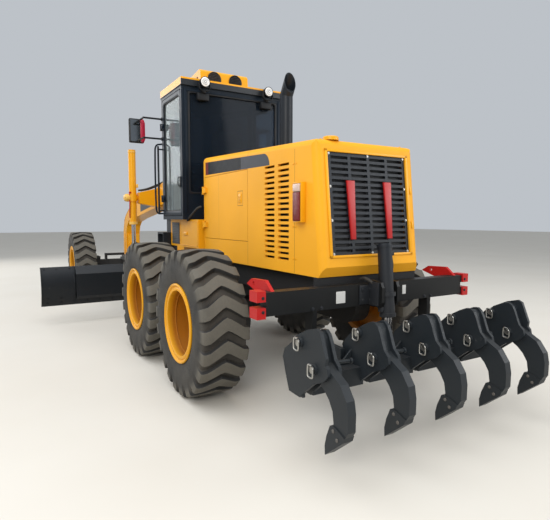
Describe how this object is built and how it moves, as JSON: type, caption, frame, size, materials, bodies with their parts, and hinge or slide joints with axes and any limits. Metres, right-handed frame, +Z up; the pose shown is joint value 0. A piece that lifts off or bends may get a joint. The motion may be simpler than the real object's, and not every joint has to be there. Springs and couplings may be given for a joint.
{
  "type": "motor grader",
  "caption": "Six-wheeled articulated road grader with cab, turning circle and blade under a gooseneck, and a rear ripper with curved shanks.",
  "frame": {"origin": "on the ground under the middle of the bounding box", "axes": "+X forward, +Y to the driver's left, +Z up"},
  "size_m": [9.753, 4.27, 3.55],
  "materials": {
    "yellow_paint": "satin",
    "charcoal_paint": "satin",
    "chromed_steel": "gloss",
    "cast_iron": "matte",
    "tyre": "matte",
    "window_glass": "gloss",
    "seat_cover": "matte",
    "dark_plastic": "matte",
    "lamp_lens": "gloss"
  },
  "bodies": {
    "rear": {"rear_frame": "charcoal_paint", "tandem_axle": "charcoal_paint", "engine": "cast_iron", "hood": "yellow_paint", "hood_grille": "charcoal_paint", "lamps": "lamp_lens", "exhaust": "charcoal_paint", "cab_base": "yellow_paint", "cab_frame": "charcoal_paint", "cab_roof": "yellow_paint", "cab_glass": "window_glass", "seat": "seat_cover", "console": "dark_plastic", "steps": "charcoal_paint", "mirrors": "charcoal_paint", "ripper_mount": "charcoal_paint"},
    "hood_door_left": {"hood_door_left": "yellow_paint"},
    "hood_door_right": {"hood_door_right": "yellow_paint"},
    "cab_door_left": {"cab_door_left": "charcoal_paint"},
    "cab_door_right": {"cab_door_right": "charcoal_paint"},
    "ripper": {"ripper_frame": "charcoal_paint", "ripper_shanks": "charcoal_paint", "ripper_tips": "charcoal_paint"},
    "ripper_barrel": {"ripper_barrel": "charcoal_paint"},
    "ripper_rod": {"ripper_rod": "chromed_steel"},
    "front": {"front_frame": "yellow_paint", "front_axle": "charcoal_paint", "steering_barrel": "charcoal_paint"},
    "knuckle_left": {"knuckle_left": "charcoal_paint"},
    "knuckle_right": {"knuckle_right": "charcoal_paint"},
    "tie_rod": {"tie_rod": "charcoal_paint"},
    "steering_rod": {"steering_rod": "chromed_steel"},
    "swing_barrel_left": {"swing_barrel_left": "charcoal_paint"},
    "swing_rod_left": {"swing_rod_left": "chromed_steel"},
    "swing_barrel_right": {"swing_barrel_right": "charcoal_paint"},
    "swing_rod_right": {"swing_rod_right": "chromed_steel"},
    "drawbar": {"drawbar": "charcoal_paint"},
    "circle": {"circle": "charcoal_paint"},
    "blade_carrier": {"blade_carrier": "charcoal_paint"},
    "blade": {"blade": "charcoal_paint"},
    "lift_barrel_left": {"lift_barrel_left": "yellow_paint"},
    "lift_rod_left": {"lift_rod_left": "chromed_steel"},
    "lift_barrel_right": {"lift_barrel_right": "yellow_paint"},
    "lift_rod_right": {"lift_rod_right": "chromed_steel"},
    "wheel_rear_left": {"tyre_rear_left": "tyre", "rim_rear_left": "yellow_paint"},
    "wheel_rear_right": {"tyre_rear_right": "tyre", "rim_rear_right": "yellow_paint"},
    "wheel_mid_left": {"tyre_mid_left": "tyre", "rim_mid_left": "yellow_paint"},
    "wheel_mid_right": {"tyre_mid_right": "tyre", "rim_mid_right": "yellow_paint"},
    "wheel_front_left": {"tyre_front_left": "tyre", "rim_front_left": "yellow_paint"},
    "wheel_front_right": {"tyre_front_right": "tyre", "rim_front_right": "yellow_paint"}
  },
  "joints": [
    {"name": "articulation", "type": "hinge", "parent": "rear", "child": "front", "pos_m": [0.0335, 0, 0.93], "axis": [0, 0, 1], "range_deg": [-27, 27]},
    {"name": "wheel_rear_left", "type": "hinge", "parent": "rear", "child": "wheel_rear_left", "pos_m": [-2.7855, 1.088, 0.674], "axis": [0, 1, 0], "continuous": true},
    {"name": "wheel_rear_right", "type": "hinge", "parent": "rear", "child": "wheel_rear_right", "pos_m": [-2.7855, -1.088, 0.674], "axis": [0, 1, 0], "continuous": true},
    {"name": "wheel_mid_left", "type": "hinge", "parent": "rear", "child": "wheel_mid_left", "pos_m": [-1.2475, 1.088, 0.674], "axis": [0, 1, 0], "continuous": true},
    {"name": "wheel_mid_right", "type": "hinge", "parent": "rear", "child": "wheel_mid_right", "pos_m": [-1.2475, -1.088, 0.674], "axis": [0, 1, 0], "continuous": true},
    {"name": "wheel_front_left", "type": "hinge", "parent": "knuckle_left", "child": "wheel_front_left", "pos_m": [4.2025, 1.088, 0.674], "axis": [0, 1, 0], "continuous": true},
    {"name": "wheel_front_right", "type": "hinge", "parent": "knuckle_right", "child": "wheel_front_right", "pos_m": [4.2025, -1.088, 0.674], "axis": [0, 1, 0], "continuous": true},
    {"name": "steer_left", "type": "hinge", "parent": "front", "child": "knuckle_left", "pos_m": [4.2025, 0.78, 0.674], "axis": [0, 0, 1], "range_deg": [-45, 45]},
    {"name": "steer_right", "type": "hinge", "parent": "front", "child": "knuckle_right", "pos_m": [4.2025, -0.78, 0.674], "axis": [0, 0, 1], "range_deg": [-45, 45]},
    {"name": "tie_rod_turn", "type": "hinge", "parent": "knuckle_left", "child": "tie_rod", "pos_m": [4.0675, 0.78, 0.521], "axis": [0, 0, 1], "range_deg": [-45, 45]},
    {"name": "steering_stroke", "type": "slide", "parent": "front", "child": "steering_rod", "axis": [0, 1, 0], "range_m": [-0.146, 0.146]},
    {"name": "swing_turn_left", "type": "hinge", "parent": "rear", "child": "swing_barrel_left", "pos_m": [-0.5365, 0.5, 1.01], "axis": [0, 0, 1], "range_deg": [-9.24, 9.24]},
    {"name": "swing_stroke_left", "type": "slide", "parent": "swing_barrel_left", "child": "swing_rod_left", "axis": [0.9774, -0.2116, 0], "range_m": [-0.1763, 0.1763]},
    {"name": "swing_turn_right", "type": "hinge", "parent": "rear", "child": "swing_barrel_right", "pos_m": [-0.5365, -0.5, 1.01], "axis": [0, 0, 1], "range_deg": [-9.24, 9.24]},
    {"name": "swing_stroke_right", "type": "slide", "parent": "swing_barrel_right", "child": "swing_rod_right", "axis": [0.9774, 0.2116, 0], "range_m": [-0.1763, 0.1763]},
    {"name": "drawbar_lift", "type": "hinge", "parent": "front", "child": "drawbar", "pos_m": [3.8735, 0, 1.04], "axis": [0, 1, 0], "range_deg": [-15, 5]},
    {"name": "lift_tilt_left", "type": "hinge", "parent": "front", "child": "lift_barrel_left", "pos_m": [1.5835, 0.59, 2], "axis": [0, 1, 0], "range_deg": [-1.8, 0.8]},
    {"name": "lift_stroke_left", "type": "slide", "parent": "lift_barrel_left", "child": "lift_rod_left", "axis": [0, 0, -1], "range_m": [-0.204, 0.6021]},
    {"name": "lift_tilt_right", "type": "hinge", "parent": "front", "child": "lift_barrel_right", "pos_m": [1.5835, -0.59, 2], "axis": [0, 1, 0], "range_deg": [-1.8, 0.8]},
    {"name": "lift_stroke_right", "type": "slide", "parent": "lift_barrel_right", "child": "lift_rod_right", "axis": [0, 0, -1], "range_m": [-0.204, 0.6021]},
    {"name": "circle_turn", "type": "hinge", "parent": "drawbar", "child": "circle", "pos_m": [1.4835, 0, 0.93], "axis": [0, 0, 1], "continuous": true},
    {"name": "blade_tip", "type": "hinge", "parent": "circle", "child": "blade_carrier", "pos_m": [0.9135, 0, 0.42], "axis": [0, -1, 0], "range_deg": [-30, 12]},
    {"name": "blade_shift", "type": "slide", "parent": "blade_carrier", "child": "blade", "axis": [0, -1, 0], "range_m": [-0.5, 0.5]},
    {"name": "ripper_lift", "type": "hinge", "parent": "rear", "child": "ripper", "pos_m": [-3.9465, 0, 0.66], "axis": [0, 1, 0], "range_deg": [-35, 20]},
    {"name": "ripper_ram_tilt", "type": "hinge", "parent": "rear", "child": "ripper_barrel", "pos_m": [-4.1015, -0.02, 1.02], "axis": [0, 1, 0], "range_deg": [-8.81, 5.17]},
    {"name": "ripper_stroke", "type": "slide", "parent": "ripper_barrel", "child": "ripper_rod", "axis": [-0.0895, 0, -0.996], "range_m": [-0.0653, 0.1104]},
    {"name": "cab_door_left", "type": "hinge", "parent": "rear", "child": "cab_door_left", "pos_m": [-0.574, 0.723, 2.4], "axis": [0, 0, -1], "range_deg": [0, 80]},
    {"name": "hood_door_left", "type": "hinge", "parent": "rear", "child": "hood_door_left", "pos_m": [-1.614, 0.55, 1.76], "axis": [0, 0, -1], "range_deg": [0, 90]},
    {"name": "cab_door_right", "type": "hinge", "parent": "rear", "child": "cab_door_right", "pos_m": [-0.574, -0.723, 2.4], "axis": [0, 0, 1], "range_deg": [0, 80]},
    {"name": "hood_door_right", "type": "hinge", "parent": "rear", "child": "hood_door_right", "pos_m": [-1.614, -0.55, 1.76], "axis": [0, 0, 1], "range_deg": [0, 90]}
  ],
  "couplings": [
    {"joint": "steer_right", "follows": "steer_left", "ratio": 1},
    {"joint": "tie_rod_turn", "follows": "steer_left", "ratio": -1},
    {"joint": "steering_stroke", "follows": "steer_left", "m_per_rad": 0.17946},
    {"joint": "swing_turn_left", "follows": "articulation", "ratio": 0.32375},
    {"joint": "swing_stroke_left", "follows": "articulation", "m_per_rad": -0.36346},
    {"joint": "swing_turn_right", "follows": "articulation", "ratio": 0.32375},
    {"joint": "swing_stroke_right", "follows": "articulation", "m_per_rad": 0.36346},
    {"joint": "lift_tilt_left", "follows": "drawbar_lift", "ratio": 0.1},
    {"joint": "lift_stroke_left", "follows": "drawbar_lift", "m_per_rad": -2.2807},
    {"joint": "lift_tilt_right", "follows": "drawbar_lift", "ratio": 0.1},
    {"joint": "lift_stroke_right", "follows": "drawbar_lift", "m_per_rad": -2.2807},
    {"joint": "ripper_ram_tilt", "follows": "ripper_lift", "ratio": 0.24325},
    {"joint": "ripper_stroke", "follows": "ripper_lift", "m_per_rad": -0.17262}
  ]
}
